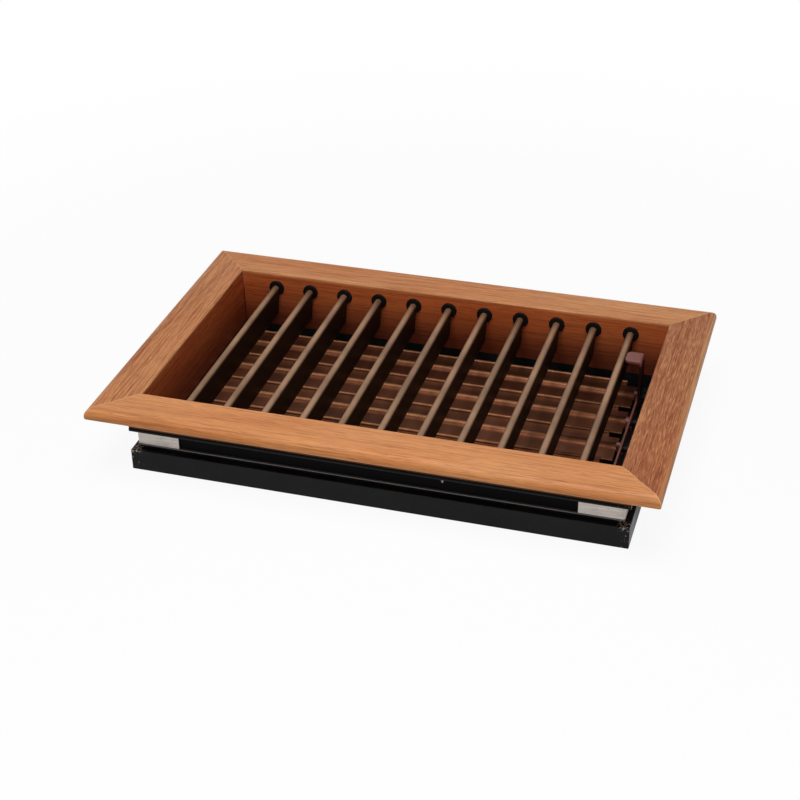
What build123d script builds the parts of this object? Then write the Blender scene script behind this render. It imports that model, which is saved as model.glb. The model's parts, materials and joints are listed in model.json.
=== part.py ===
"""Adjustable air grille: a mitred wooden face, a row of louvres and an opposed-blade damper.

The grille lies face up. The origin is in the middle of the damper frame's base, X runs along the
grille, Y from the front rail to the rear rail, and Z out of the face. The louvres run along Y and
the damper blades along X.
"""
from build123d import *
import math
import os

# Driving dimensions, in millimetres and degrees

# Opening inside the wood
opening_length = 240.0
opening_width = 137.0

# Heights, from the base up
body_height = 11.7
groove_height = 10.7
lip_thickness = 2.1
neck_height = 11.2
flange_thickness = 6.3

# Wooden members
flange_width = 22.0
flange_top_round = 4.0
flange_bottom_round = 1.5
opening_edge_round = 0.8
neck_wall = 6.5
tongue_thickness = 1.5
tongue_gap = 0.1

# Damper frame extrusion
web_thickness = 1.0
step_height = 9.4
chamber_wall = 1.3
ledge_thickness = 1.2
ledge_gap = 0.3
tray_thickness = 0.8
tray_gap = 0.4
extrusion_round = 0.4
rib_reach = 1.0
rib_thickness = 0.8
rib_rise = 1.5
rib_round = 0.3

# Corner brackets in the frame's groove
bracket_leg = 22.3
bracket_thickness = 0.8
bracket_gap = 0.15
bracket_bend = 0.4
bracket_clearance = 0.3

# Brads that hold the frame to the wood
brad_diameter = 1.1
brad_head_diameter = 2.2
brad_head_thickness = 0.5
brad_head_round = 0.4
brad_length = 2.2
brad_offset = 35.0
brad_rise = 8.0

# Louvres
louvre_count = 11
louvre_nose_diameter = 3.8
louvre_tail_thickness = 1.2
louvre_reach = 16.0
pivot_depth = 8.6
louvre_end_gap = 0.3

# Louvre pivots and bushes
pivot_diameter = 2.0
pivot_in_louvre = 8.0
bush_flange_diameter = 8.6
bush_flange_thickness = 1.0
bush_barrel_diameter = 4.8
bush_barrel_length = 4.2
pivot_end_gap = 0.4

# Damper blades
blade_count = 5
blade_side_gap = 4.5
blade_seam = 0.5
blade_thickness = 1.2
blade_bead_diameter = 2.4
blade_curl = 1.0
blade_curl_run = 5.0
blade_hub_diameter = 4.6
blade_hub_blend = 3.0
blade_axis_height = 5.8
blade_end_gap = 0.3
blade_notch_length = 5.7
blade_notch_depth = 4.5
damper_swing = 55.0

# Damper shafts and bushes
shaft_diameter = 3.0
shaft_bush_barrel_diameter = 4.6
shaft_bush_barrel_length = 2.6
shaft_bush_flange_diameter = 6.4
shaft_bush_flange_thickness = 0.8
shaft_end_gap = 0.4

# Damper drive
slide_inset = 11.0
slide_thickness = 1.0
slide_rim = 0.6
slide_end = 1.6
crank_radius = 3.0
crank_thickness = 2.0
crank_hub_diameter = 5.2
crank_eye_diameter = 3.0
crank_pin_diameter = 1.6
crank_side_gap = 0.3
slot_clearance = 0.2

# Finger lever
lever_thickness = 1.2
lever_width = 10.0
lever_setback = 3.6
lever_nose_gap = 0.4
lever_tab_rise = 1.4
lever_tab_round = 2.4
lever_bend = 1.8
lever_shaft_gap = 0.5
rivet_diameter = 1.5
rivet_head_diameter = 2.4
rivet_head_thickness = 0.6
rivet_head_round = 0.5
rivet_tail_thickness = 0.15
rivet_spacing = 4.8

# Fits
running_gap = 0.05
press_gap = 0.02

# Derived places
half_length = opening_length / 2
half_width = opening_width / 2
groove_top = body_height + groove_height
lip_top = groove_top + lip_thickness
flange_bottom = lip_top + neck_height
face = flange_bottom + flange_thickness
web_inside = tongue_thickness + tongue_gap
web_outside = web_inside + web_thickness
brad_height = body_height + brad_rise
rib_height = body_height + rib_rise + rib_thickness / 2

louvre_pitch = opening_length / (louvre_count + 1)
louvre_places = [(n - (louvre_count - 1) / 2) * louvre_pitch for n in range(louvre_count)]
pivot_height = face - pivot_depth
bush_face = half_width - bush_flange_thickness
louvre_end = bush_face - louvre_end_gap
pivot_end = half_width + bush_barrel_length - pivot_end_gap

blade_pitch = (opening_width - 2 * blade_side_gap) / blade_count
blade_places = [((blade_count - 1) / 2 - n) * blade_pitch for n in range(blade_count)]
blade_reach = (blade_pitch - blade_seam) / 2
ledge_reach = blade_side_gap - ledge_gap
shaft_bush_face = half_length - shaft_bush_flange_thickness
shaft_end = half_length + shaft_bush_barrel_length - shaft_end_gap

slide_left = half_length - slide_inset
slide_right = slide_left + slide_thickness
crank_right = slide_left - crank_side_gap
crank_left = crank_right - crank_thickness
blade_left = -shaft_bush_face + blade_end_gap
blade_right = crank_left - press_gap
crank_lag = crank_radius * math.sin(math.radians(damper_swing / 2))
crank_rise = crank_radius * math.cos(math.radians(damper_swing / 2))
slide_travel = 2 * crank_lag
tray_left = blade_right + tray_gap
pin_slot_width = crank_pin_diameter + 2 * slot_clearance
shaft_slot_height = shaft_diameter + 2 * slot_clearance
slide_half_height = crank_radius + pin_slot_width / 2 + slide_rim
slide_far = blade_places[0] + shaft_slot_height / 2 + slide_end
slide_near = blade_places[-1] - slide_travel - shaft_slot_height / 2 - slide_end

lever_far = blade_places[0] - lever_setback
lever_near = lever_far - lever_width
lever_foot = blade_axis_height + shaft_diameter / 2 + lever_shaft_gap
lever_top = pivot_height + lever_tab_rise
rivet_height = (lever_foot + blade_axis_height + slide_half_height) / 2
rivet_places = [(lever_near + lever_far) / 2 + side * rivet_spacing / 2 for side in (-1, 1)]


def rounded(section, corners, radius):
    """A section with the corners nearest to the given points rounded."""
    picked = [section.vertices().sort_by_distance((u, z, 0))[0] for u, z in corners]
    return fillet(picked, radius)


def along_x(section, start, end):
    """A section drawn as (y, z), carried along X from start to end."""
    plane = Plane(origin=(start, 0, 0), x_dir=(0, 1, 0), z_dir=(1, 0, 0))
    return extrude(plane * section, end - start, dir=plane.z_dir)


def along_y(section, start, end):
    """A section drawn as (x, z), carried along Y from start to end."""
    plane = Plane(origin=(0, end, 0), x_dir=(1, 0, 0), z_dir=(0, -1, 0))
    return extrude(plane * section, end - start, dir=plane.z_dir)


def rod_x(diameter, start, end, y, z):
    """A round rod along X."""
    return along_x(Pos(y, z) * Circle(diameter / 2), start, end)


def rod_y(diameter, start, end, x, z):
    """A round rod along Y."""
    return along_y(Pos(x, z) * Circle(diameter / 2), start, end)


def half_turned(shape):
    """The same shape on the opposite side, half a turn about Z."""
    return Rot(0, 0, 180) * shape


def mitred_member(section, overhang, run, reach):
    """A frame member on the +Y side, with 45 degree mitres at both ends.

    The section is drawn as (distance out from the opening's wall, height). The overhang is how far
    the section goes out, the run is half the opening along the member and the reach half across it.
    """
    outer_run = run + overhang
    outer_reach = reach + overhang
    bar = along_x(Pos(reach, 0) * section, -outer_run, outer_run)
    depth = overhang + blade_side_gap
    outline = Polygon(
        (-outer_run, outer_reach),
        (outer_run, outer_reach),
        (outer_run - depth, outer_reach - depth),
        (-outer_run + depth, outer_reach - depth),
        align=None,
    )
    return bar & extrude(outline, face, dir=(0, 0, 1))


def four_members(make, names):
    """The rear, left, front and right members, each turned a quarter further than the last."""
    sides = [(half_length, half_width), (half_width, half_length)] * 2
    return {
        name: Rot(0, 0, 90 * n) * make(run, reach)
        for n, (name, (run, reach)) in enumerate(zip(names, sides))
    }


def wood_section():
    """Flange, neck and tongue of a wooden member."""
    outline = make_face(
        Polyline(
            (0, step_height),
            (tongue_thickness, step_height),
            (tongue_thickness, lip_top),
            (neck_wall, lip_top),
            (neck_wall, flange_bottom),
            (flange_width, flange_bottom),
            (flange_width, face),
            (0, face),
            close=True,
        )
    )
    outline = rounded(outline, [(flange_width, face)], flange_top_round)
    outline = rounded(outline, [(flange_width, flange_bottom)], flange_bottom_round)
    return rounded(outline, [(0, face)], opening_edge_round)


def extrusion_section(with_ledge):
    """Body, web and lip of the damper frame, with a hollow chamber, an outer groove and its small rib."""
    inner_foot = [(0, 0)]
    if with_ledge:
        inner_foot = [(0, ledge_thickness), (-ledge_reach, ledge_thickness), (-ledge_reach, 0)]
    outline = make_face(
        Polyline(
            *inner_foot,
            (neck_wall, 0),
            (neck_wall, body_height),
            (web_outside, body_height),
            (web_outside, groove_top),
            (neck_wall, groove_top),
            (neck_wall, lip_top),
            (web_inside, lip_top),
            (web_inside, step_height),
            (0, step_height),
            close=True,
        )
    )
    outer_corners = [(neck_wall, z) for z in (0, body_height, groove_top, lip_top)]
    outline = rounded(outline, outer_corners, extrusion_round)
    chamber_width = neck_wall - 2 * chamber_wall
    chamber_height = step_height - 2 * chamber_wall
    chamber = Pos(neck_wall / 2, step_height / 2) * Rectangle(chamber_width, chamber_height)
    rib_width = rib_reach + web_thickness / 2
    rib_middle = web_outside + rib_reach - rib_width / 2
    rib = Pos(rib_middle, rib_height) * RectangleRounded(rib_width, rib_thickness, rib_round)
    return outline + rib - chamber


def linkage_tray():
    """The flat inner flange of the right end member, under the drive, between the two ledges."""
    length = half_length - tray_left
    width = 2 * (half_width - ledge_reach)
    middle = ((half_length + tray_left) / 2, 0, tray_thickness / 2)
    return Pos(*middle) * Box(length, width, tray_thickness)


def wooden_frame():
    """Four mitred members; the two rails have blind holes for the bushes and the brads."""
    section = wood_section()
    names = ("rear_rail", "left_stile", "front_rail", "right_stile")
    members = four_members(lambda run, reach: mitred_member(section, flange_width, run, reach), names)
    hole_diameter = bush_barrel_diameter + 2 * press_gap
    hole_end = half_width + bush_barrel_length
    brad_end = half_width + web_outside - brad_length
    holes = [rod_y(hole_diameter, half_width, hole_end, x, pivot_height) for x in louvre_places]
    brad_hole = rod_y(brad_diameter, brad_end, half_width + tongue_thickness, -brad_offset, brad_height)
    holes.append(brad_hole)
    members["rear_rail"] -= holes
    members["front_rail"] -= [half_turned(hole) for hole in holes]
    return members


def damper_frame():
    """Four mitred extrusions; the end members are bored for the shaft bushes."""
    names = ("damper_frame_rear", "damper_frame_left", "damper_frame_front", "damper_frame_right")
    sections = {half_width: extrusion_section(True), half_length: extrusion_section(False)}
    members = four_members(
        lambda run, reach: mitred_member(sections[reach], neck_wall, run, reach), names
    )
    members["damper_frame_right"] += linkage_tray()
    bore = shaft_bush_barrel_diameter + 2 * press_gap
    bores = [
        rod_x(bore, half_length, half_length + chamber_wall, y, blade_axis_height)
        for y in blade_places
    ]
    members["damper_frame_right"] -= bores
    members["damper_frame_left"] -= [mirror(hole, Plane.YZ) for hole in bores]
    brad_start = half_width + web_inside
    brad_hole = rod_y(brad_diameter, brad_start, half_width + web_outside, -brad_offset, brad_height)
    members["damper_frame_rear"] -= brad_hole
    members["damper_frame_front"] -= half_turned(brad_hole)
    return members


def corner_brackets():
    """Bent strips that stand on the rib and lie on the web round each corner, inside the groove."""
    inside = web_outside + bracket_gap
    outside = inside + bracket_thickness
    bottom = rib_height + rib_thickness / 2 + bracket_gap
    height = groove_top - bracket_clearance - bottom
    loop = RectangleRounded(
        opening_length + 2 * outside, opening_width + 2 * outside, bracket_bend + bracket_thickness
    )
    loop -= RectangleRounded(opening_length + 2 * inside, opening_width + 2 * inside, bracket_bend)
    strip = Pos(0, 0, bottom) * extrude(loop, height, dir=(0, 0, 1))
    brackets = {}
    for end, side_x in (("left", -1), ("right", 1)):
        for row, side_y in (("front", -1), ("rear", 1)):
            corner = (side_x * (half_length + outside), side_y * (half_width + outside))
            legs = Pos(*corner, face / 2) * Box(2 * bracket_leg, 2 * bracket_leg, face)
            brackets[f"corner_bracket_{row}_{end}"] = strip & legs
    return brackets


def fixing_brads():
    """Round-headed brads through the web into the tongue, one on each long side."""
    head_seat = half_width + web_outside
    shank = rod_y(brad_diameter, head_seat - brad_length, head_seat, -brad_offset, brad_height)
    head = rod_y(brad_head_diameter, head_seat, head_seat + brad_head_thickness, -brad_offset, brad_height)
    rim = head.faces().sort_by(Axis.Y)[-1].edges()
    brad = shank + fillet(rim, brad_head_round)
    return [brad, half_turned(brad)]


def louvre(x):
    """A tapered louvre: the hull of a round nose on the pivot and a thin round tail."""
    tail_radius = louvre_tail_thickness / 2
    nose = Pos(x, pivot_height) * Circle(louvre_nose_diameter / 2)
    tail = Pos(x, pivot_height - louvre_reach + tail_radius) * Circle(tail_radius)
    section = make_hull(nose.edges() + tail.edges())
    bar = along_y(section, -louvre_end, louvre_end)
    bore = pivot_diameter + 2 * press_gap
    inner_end = louvre_end - pivot_in_louvre
    bores = [
        rod_y(bore, inner_end, louvre_end, x, pivot_height),
        rod_y(bore, -louvre_end, -inner_end, x, pivot_height),
    ]
    return bar - bores


def louvre_pivots(x):
    """The pin at each end of a louvre."""
    inner_end = louvre_end - pivot_in_louvre
    return [
        rod_y(pivot_diameter, inner_end, pivot_end, x, pivot_height),
        rod_y(pivot_diameter, -pivot_end, -inner_end, x, pivot_height),
    ]


def rear_pivot_bushes():
    """Flanged bushes in the rear rail, one for each louvre."""
    bore = pivot_diameter + 2 * running_gap
    barrel_end = half_width + bush_barrel_length
    bushes = []
    for x in louvre_places:
        flange = rod_y(bush_flange_diameter, bush_face, half_width, x, pivot_height)
        barrel = rod_y(bush_barrel_diameter, half_width, barrel_end, x, pivot_height)
        bushes.append(flange + barrel - rod_y(bore, bush_face, barrel_end, x, pivot_height))
    return bushes


def damper_blade(y):
    """A blade with a round hub along its middle, a bead on its far edge and a notch by its driven end.

    Its near half is flat with a plain round edge, which lies behind the next blade's bead. Its far half ends
    in an arc that leaves the web level and rises by the curl to the bead.
    """
    bead = blade_bead_diameter / 2
    bead_run = blade_reach - bead
    curl_start = bead_run - blade_curl_run
    curl_radius = (blade_curl_run ** 2 + blade_curl ** 2) / (2 * blade_curl)
    near_run = blade_reach - blade_thickness / 2
    web = Pos((curl_start - near_run) / 2, 0) * Rectangle(curl_start + near_run, blade_thickness)
    web += Pos(-near_run, 0) * Circle(blade_thickness / 2)
    ring = Circle(curl_radius + blade_thickness / 2) - Circle(curl_radius - blade_thickness / 2)
    window = Pos(curl_start + blade_curl_run / 2, 0) * Rectangle(blade_curl_run, blade_reach)
    section = web + (Pos(curl_start, curl_radius) * ring & window) + Circle(blade_hub_diameter / 2)
    blends = [v for v in section.vertices() if abs(v.X) < blade_hub_diameter]
    section = fillet(blends, blade_hub_blend)
    section += Pos(bead_run, blade_curl) * Circle(bead)
    section -= Circle(shaft_diameter / 2 + press_gap)
    blade = along_x(Pos(y, blade_axis_height) * section, blade_left, blade_right)
    notch_middle = (blade_right - blade_notch_length / 2, y + blade_reach, blade_axis_height)
    notch = Box(blade_notch_length, 2 * blade_notch_depth, blade_reach)
    return blade - Pos(*notch_middle) * notch


def damper_shaft(y):
    """The shaft in a blade's hub, from bush to bush."""
    return rod_x(shaft_diameter, -shaft_end, shaft_end, y, blade_axis_height)


def damper_crank(y, side):
    """A crank on the blade's end, its pin above the shaft (side 1) or below it (side -1)."""
    pin_place = (y - crank_lag, blade_axis_height + side * crank_rise)
    hub = Pos(y, blade_axis_height) * Circle(crank_hub_diameter / 2)
    eye = Pos(*pin_place) * Circle(crank_eye_diameter / 2)
    arm = along_x(make_hull(hub.edges() + eye.edges()), crank_left, crank_right)
    pin = rod_x(crank_pin_diameter, crank_right, slide_right, *pin_place)
    bore = rod_x(shaft_diameter + 2 * press_gap, crank_left, crank_right, y, blade_axis_height)
    return arm + pin - bore


def damper_bushes_right():
    """Flanged bushes for the shafts in the right end member."""
    bore = shaft_diameter + 2 * running_gap
    barrel_end = half_length + shaft_bush_barrel_length
    bushes = []
    for y in blade_places:
        flange = rod_x(shaft_bush_flange_diameter, shaft_bush_face, half_length, y, blade_axis_height)
        barrel = rod_x(shaft_bush_barrel_diameter, half_length, barrel_end, y, blade_axis_height)
        bushes.append(flange + barrel - rod_x(bore, shaft_bush_face, barrel_end, y, blade_axis_height))
    return bushes


def crank_side(n):
    """Neighbouring blades turn opposite ways, so their crank pins alternate above and below."""
    return 1 if n % 2 == 0 else -1


def slide_slot(y, side):
    """The slot for one blade: a level run for the shaft, joined by an upright run for the pin."""
    level = Pos(y - crank_lag, blade_axis_height) * SlotOverall(
        slide_travel + shaft_slot_height, shaft_slot_height
    )
    pin_reach = crank_radius + pin_slot_width / 2
    upright = Pos(y - crank_lag, blade_axis_height + side * pin_reach / 2) * Rectangle(
        pin_slot_width, pin_reach
    )
    return level + upright


def damper_slide():
    """The strip on edge that joins the cranks, carried on the shafts in its level slots."""
    length = slide_far - slide_near
    strip = Pos((slide_far + slide_near) / 2, blade_axis_height) * Rectangle(length, 2 * slide_half_height)
    strip = fillet(strip.vertices(), slide_end)
    strip -= [slide_slot(y, crank_side(n)) for n, y in enumerate(blade_places)]
    strip -= [Pos(y, rivet_height) * Circle(rivet_diameter / 2) for y in rivet_places]
    return along_x(strip, slide_left, slide_right)


def damper_lever():
    """A bent strip: a leg riveted to the slide and a finger tab beside the last louvre."""
    leg_face = slide_right + lever_thickness
    tab_end = louvre_places[-1] + louvre_nose_diameter / 2 + lever_nose_gap
    outline = make_face(
        Polyline(
            (slide_right, lever_foot),
            (leg_face, lever_foot),
            (leg_face, lever_top),
            (tab_end, lever_top),
            (tab_end, lever_top - lever_thickness),
            (slide_right, lever_top - lever_thickness),
            close=True,
        )
    )
    outline = rounded(outline, [(leg_face, lever_top)], lever_bend)
    outline = rounded(outline, [(slide_right, lever_top - lever_thickness)], lever_bend - lever_thickness)
    lever = along_y(outline, lever_near, lever_far)
    tab_corners = lever.edges().filter_by(Axis.Z).sort_by(Axis.X)[:2]
    lever = fillet(tab_corners, lever_tab_round)
    holes = [rod_x(rivet_diameter, slide_right, leg_face, y, rivet_height) for y in rivet_places]
    return lever - holes


def lever_rivets():
    """Two rivets with a domed head on the lever and a flush tail on the slide."""
    head_seat = slide_right + lever_thickness
    rivets = []
    for y in rivet_places:
        shank = rod_x(rivet_diameter, slide_left, head_seat, y, rivet_height)
        head = rod_x(rivet_head_diameter, head_seat, head_seat + rivet_head_thickness, y, rivet_height)
        rim = head.faces().sort_by(Axis.X)[-1].edges()
        tail = rod_x(rivet_head_diameter, slide_left - rivet_tail_thickness, slide_left, y, rivet_height)
        rivets.append(shank + tail + fillet(rim, rivet_head_round))
    return rivets


def grille():
    """Every node by name; a node of several like pieces is a list."""
    nodes = {**wooden_frame(), **damper_frame(), **corner_brackets()}
    nodes["fixing_brads"] = fixing_brads()
    for n, x in enumerate(louvre_places, 1):
        nodes[f"louvre_{n:02d}"] = louvre(x)
        nodes[f"louvre_{n:02d}_pivots"] = louvre_pivots(x)
    rear_bushes = rear_pivot_bushes()
    nodes["rear_pivot_bushes"] = rear_bushes
    nodes["front_pivot_bushes"] = [mirror(bush, Plane.XZ) for bush in rear_bushes]
    for n, y in enumerate(blade_places):
        nodes[f"damper_blade_{n + 1}"] = damper_blade(y)
        nodes[f"damper_shaft_{n + 1}"] = damper_shaft(y)
        nodes[f"damper_crank_{n + 1}"] = damper_crank(y, crank_side(n))
    right_bushes = damper_bushes_right()
    nodes["damper_bushes_right"] = right_bushes
    nodes["damper_bushes_left"] = [mirror(bush, Plane.YZ) for bush in right_bushes]
    nodes["damper_slide"] = damper_slide()
    nodes["damper_lever"] = damper_lever()
    nodes["lever_rivets"] = lever_rivets()
    return nodes


os.makedirs("parts", exist_ok=True)
for name, shape in grille().items():
    pieces = shape if isinstance(shape, list) else [shape]
    solids = [solid for piece in pieces for solid in piece.solids()]
    export_step(Compound(children=solids), f"parts/{name}.step")
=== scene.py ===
"""Adjustable air grille, dressed for rendering.

The wooden members, louvres, bushes, brackets and damper blades are rebuilt as fine surfaces in the
place of their CAD nodes. The damper frame, shafts, cranks, slide, lever, pins and rivets stay as CAD
nodes with finishes of their own. All lengths are metres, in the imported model's frame.
"""

import json
import math

import bmesh
import bpy
import numpy as np
from mathutils import Matrix, Vector


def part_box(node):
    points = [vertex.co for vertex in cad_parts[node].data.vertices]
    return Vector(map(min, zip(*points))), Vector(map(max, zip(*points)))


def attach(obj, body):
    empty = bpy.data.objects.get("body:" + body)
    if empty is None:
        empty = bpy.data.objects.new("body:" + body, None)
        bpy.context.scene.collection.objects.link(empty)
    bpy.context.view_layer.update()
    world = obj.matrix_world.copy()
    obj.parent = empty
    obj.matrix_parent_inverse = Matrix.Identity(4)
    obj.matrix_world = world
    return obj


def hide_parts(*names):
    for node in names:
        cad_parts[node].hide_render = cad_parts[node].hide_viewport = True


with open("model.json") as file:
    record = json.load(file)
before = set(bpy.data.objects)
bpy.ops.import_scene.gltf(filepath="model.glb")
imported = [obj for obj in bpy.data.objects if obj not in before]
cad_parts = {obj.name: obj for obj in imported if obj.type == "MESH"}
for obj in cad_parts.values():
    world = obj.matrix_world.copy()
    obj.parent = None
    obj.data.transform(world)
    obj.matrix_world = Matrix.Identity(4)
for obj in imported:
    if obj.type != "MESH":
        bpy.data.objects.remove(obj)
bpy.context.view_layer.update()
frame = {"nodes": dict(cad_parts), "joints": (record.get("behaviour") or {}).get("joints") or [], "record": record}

bl_info = {
    "name": "Adjustable air grille",
    "version": (1, 0, 0),
    "blender": (4, 5, 0),
    "location": "View3D > Sidebar > Air grille",
    "description": "Builds a wooden-faced air grille with louvres and an opposed-blade damper",
    "category": "Add Mesh",
}

MM = 0.001

# Small lengths of the model that no box gives
LEDGE_DROP = 2.4 * MM  # from the rib's top down to the inner ledge
CREST_DROP = 0.55 * MM  # from a hub's top down to the edge of its painted highlight line
NOSE_SHADE = 0.55 * MM  # from a louvre's pivot up to where its nose goes into shade
TAB_DEPTH = 2.5 * MM  # from the top of the lever's tab down to its shade
BUSH_EDGE = 0.2 * MM  # round at the mouth and the back of a bush
BUSH_FILLET = 0.15 * MM  # round of a bush's other edges

# How fine the meshes are
SMOOTH_ANGLE = math.radians(32.0)  # sharper edges stay sharp
FLAT_SUPPORT = 0.12 * MM  # from a round's end to the point that keeps the next flat flat
FINE_SUPPORT = 0.05 * MM  # the same, on small parts
WEB_GAP = 0.3 * MM  # from the end of a hub's blend to the next point of the web
BUSH_SIDES = 40

# Colours of painted shade, painted light, wear and dirt, in linear light
# Painted shade multiplied into the walls of the opening, darker towards the foot
RAIL_WALL_SHADE = ((0.88, 0.49, 0.34), (0.18, 0.082, 0.075))  # at the top and at the foot of the opening
STILE_WALL_SHADE = ((1.0, 0.55, 0.4), (0.34, 0.15, 0.13))
RAIL_ROUND_SHADE = (0.85, 0.78, 0.66)
UNDER_FLANGE_SHADE = (0.004, 0.002, 0.0012)
MITRE_LINE = (0.72, 0.42, 0.2)
JOINT_DARK = (0.02, 0.008, 0.004)
JOINT_LIGHT = (0.42, 0.3, 0.25)
FLANK_SHADE = (0.05, 0.03, 0.025)  # times the coating
CREST_HIGHLIGHT = (0.46, 0.215, 0.105)
WORN_METAL = (0.5, 0.44, 0.38)
DIRT = (0.1, 0.075, 0.055)
DUST = (0.16, 0.14, 0.125)
RECESS_SHADE = (0.0015, 0.0015, 0.0017)
RIB_HIGHLIGHT = (0.3, 0.29, 0.28)
SCRAPED_METAL = (0.55, 0.47, 0.4)
BRAD_GLINT = (0.6, 0.58, 0.55)
BRAD_PAINT = ((0.008, 0.008, 0.008), (0.02, 0.019, 0.018))
PIN_STEEL = (0.6, 0.6, 0.6)
BUSH_BLACK = (0.007, 0.005, 0.004)
SHAFT_BUSH_BLACK = (0.01, 0.0095, 0.009)
SHAFT_BLACK = (0.012, 0.009, 0.008)
CARD_WHITES = ((0.86, 0.86, 0.86), (0.9, 0.9, 0.9))
CARD_SHADOW = (0.02, 0.015, 0.012)

# The stage
FLOOR_REACH = 4.0
OVERHEAD_PLACE = (0.05, -0.28, 0.92)
FRONT_PLACE = (0.06, -1.15, 0.52)
LAMP_AIM = (0.0, 0.0, 0.02)
LAMP_SIZE = (0.5, 0.6)
SENSOR_WIDTH = 36.0
CLIP_START = 0.01

# Places read from the frame
front_rail_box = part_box("front_rail")
left_stile_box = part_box("left_stile")
damper_front_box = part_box("damper_frame_front")
half_width = -front_rail_box[1].y
half_length = -left_stile_box[1].x
face = front_rail_box[1].z
tongue_foot = front_rail_box[0].z
flange_width = -front_rail_box[0].y - half_width
neck_wall = -damper_front_box[0].y - half_width
lip_top = damper_front_box[1].z
rib_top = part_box("corner_bracket_front_left")[0].z
groove_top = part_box("corner_bracket_front_left")[1].z
ledge_height = rib_top - LEDGE_DROP
mounts = {m["name"]: m for m in frame["record"]["mounts"]}
flange_bottom = mounts["flange_back"]["pos_m"][2]
louvre_joints = [j for j in frame["joints"] if j["child"].startswith("louvre")]
blade_joints = [j for j in frame["joints"] if j["child"].startswith("damper_blade")]


def number(name, description, default, **kind):
    """A number property; kind gives its unit, subtype or limits."""
    return bpy.props.FloatProperty(name=name, description=description, default=default, **kind)


def length(name, description, default):
    """A length property in metres, shown in the scene's unit."""
    return number(name, description, default, min=0.0, precision=5, subtype="DISTANCE", unit="LENGTH")


def angle(name, description, degrees):
    """An angle property, given in degrees."""
    return number(name, description, math.radians(degrees), subtype="ANGLE", unit="ROTATION")


def share(name, description, default):
    """A property from 0 to 1."""
    return number(name, description, default, min=0.0, max=1.0, subtype="FACTOR")


def colour(name, description, default):
    """A colour property in linear light."""
    return bpy.props.FloatVectorProperty(
        name=name, description=description, default=default, size=3, min=0.0, max=1.0, subtype="COLOR"
    )


class WoodSettings(bpy.types.PropertyGroup):
    """Sizes and colours of the mitred wooden face."""

    tongue_thickness: length("Tongue", "Thickness of the tongue inside the damper frame", 1.5 * MM)
    top_round: length("Top round", "Radius of the face's outer edge", 4.0 * MM)
    bottom_round: length("Bottom round", "Radius of the flange's lower edge", 1.5 * MM)
    opening_round: length("Opening round", "Radius of the edge round the opening", 0.8 * MM)
    small_round: length("Small round", "Radius of the other edges", 0.25 * MM)
    mitre_bevel: length("Mitre bevel", "Width of the bevel at each mitre", 0.22 * MM)
    light: colour("Light grain", "Palest wood between the pores", (0.79, 0.372, 0.15))
    middle: colour("Middle grain", "Most of the wood", (0.67, 0.257, 0.083))
    dark: colour("Dark grain", "Late wood and pores", (0.19, 0.034, 0.006))


class LouvreSettings(bpy.types.PropertyGroup):
    """Sizes and colour of the louvres and their bushes."""

    nose_radius: length("Nose radius", "Radius of the louvre's round nose", 1.9 * MM)
    tail_radius: length("Tail radius", "Radius of the louvre's tail", 0.6 * MM)
    end_bevel: length("End bevel", "Bevel round each end of a louvre", 0.2 * MM)
    bush_barrel: length("Bush barrel", "Radius of the barrel in the rail", 2.4 * MM)
    bush_flange: length("Bush flange", "Thickness of the bush's flange", 1.0 * MM)
    bush_bore: length("Bush bore", "Radius of the hole for the pin", 1.05 * MM)
    bush_round: length("Bush round", "Radius of the flange's front edge", 0.4 * MM)
    coating: colour("Coating", "Satin brown coating of the louvres", (0.295, 0.172, 0.103))


class DamperSettings(bpy.types.PropertyGroup):
    """Sizes and colours of the damper."""

    web_thickness: length("Web thickness", "Thickness of a blade's flat web", 1.2 * MM)
    bead_radius: length("Bead radius", "Radius of the bead on a blade's far edge", 1.2 * MM)
    curl: length("Curl", "Rise of a blade's bead over its web", 1.0 * MM)
    curl_run: length("Curl run", "Length of the arc that rises to the bead", 5.0 * MM)
    hub_radius: length("Hub radius", "Radius of a blade's tube", 2.3 * MM)
    hub_blend: length("Hub blend", "Radius between the tube and the web", 3.0 * MM)
    notch_length: length("Notch length", "Length of the notch at the driven end", 5.7 * MM)
    notch_depth: length("Notch depth", "Depth of the notch at the driven end", 4.5 * MM)
    bracket_thickness: length("Bracket", "Thickness of a corner bracket", 0.8 * MM)
    bracket_bend: length("Bracket bend", "Inner radius of a corner bracket's bend", 0.4 * MM)
    bracket_round: length("Bracket edge", "Radius of a corner bracket's edges", 0.15 * MM)
    blade: colour("Blade", "Satin reddish brown coating of the blades", (0.106, 0.037, 0.018))
    lever: colour("Lever", "Pinkish brown coating of the lever", (0.19, 0.064, 0.049))
    black: colour("Frame", "Satin black coating of the damper frame", (0.0054, 0.0054, 0.0057))
    bare: colour("Bare metal", "Bare aluminium of the corner brackets", (0.56, 0.505, 0.46))


class StageSettings(bpy.types.PropertyGroup):
    """Camera, light and floor."""

    azimuth: angle("Azimuth", "Camera's turn to the right", 17.26)
    elevation: angle("Elevation", "Camera's height over the horizon", 31.88)
    roll: angle("Roll", "Camera's roll about its own line of sight", -1.0)
    distance: length("Distance", "From the camera to its target", 0.8334)
    lens: number("Lens", "Focal length in millimetres on a 36 mm sensor", 76.49)
    target: bpy.props.FloatVectorProperty(
        name="Target", description="Point in the middle of the picture",
        default=(0.00502, -0.04086, 0.042), subtype="TRANSLATION", unit="LENGTH",
    )
    overhead_power: number("Overhead", "Power of the lamp over the grille", 7.6, unit="POWER")
    front_power: number("Front", "Power of the lamp at the front", 1.7, unit="POWER")
    sky: number("Sky", "Strength of the even light all round", 0.07)
    floor_glow: share("Floor glow", "How much of the floor's whiteness is its own", 0.93)


def arc(centre, radius, start, end, count):
    """Points on a circle from one angle to another, in degrees: centre + radius * (cos, sin)."""
    turn = np.radians(np.linspace(start, end, count))
    return np.column_stack([centre[0] + radius * np.cos(turn), centre[1] + radius * np.sin(turn)])


def level(start, end, height, count):
    """Evenly spaced points on a level line."""
    return np.column_stack([np.linspace(start, end, count), np.full(count, height)])


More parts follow.
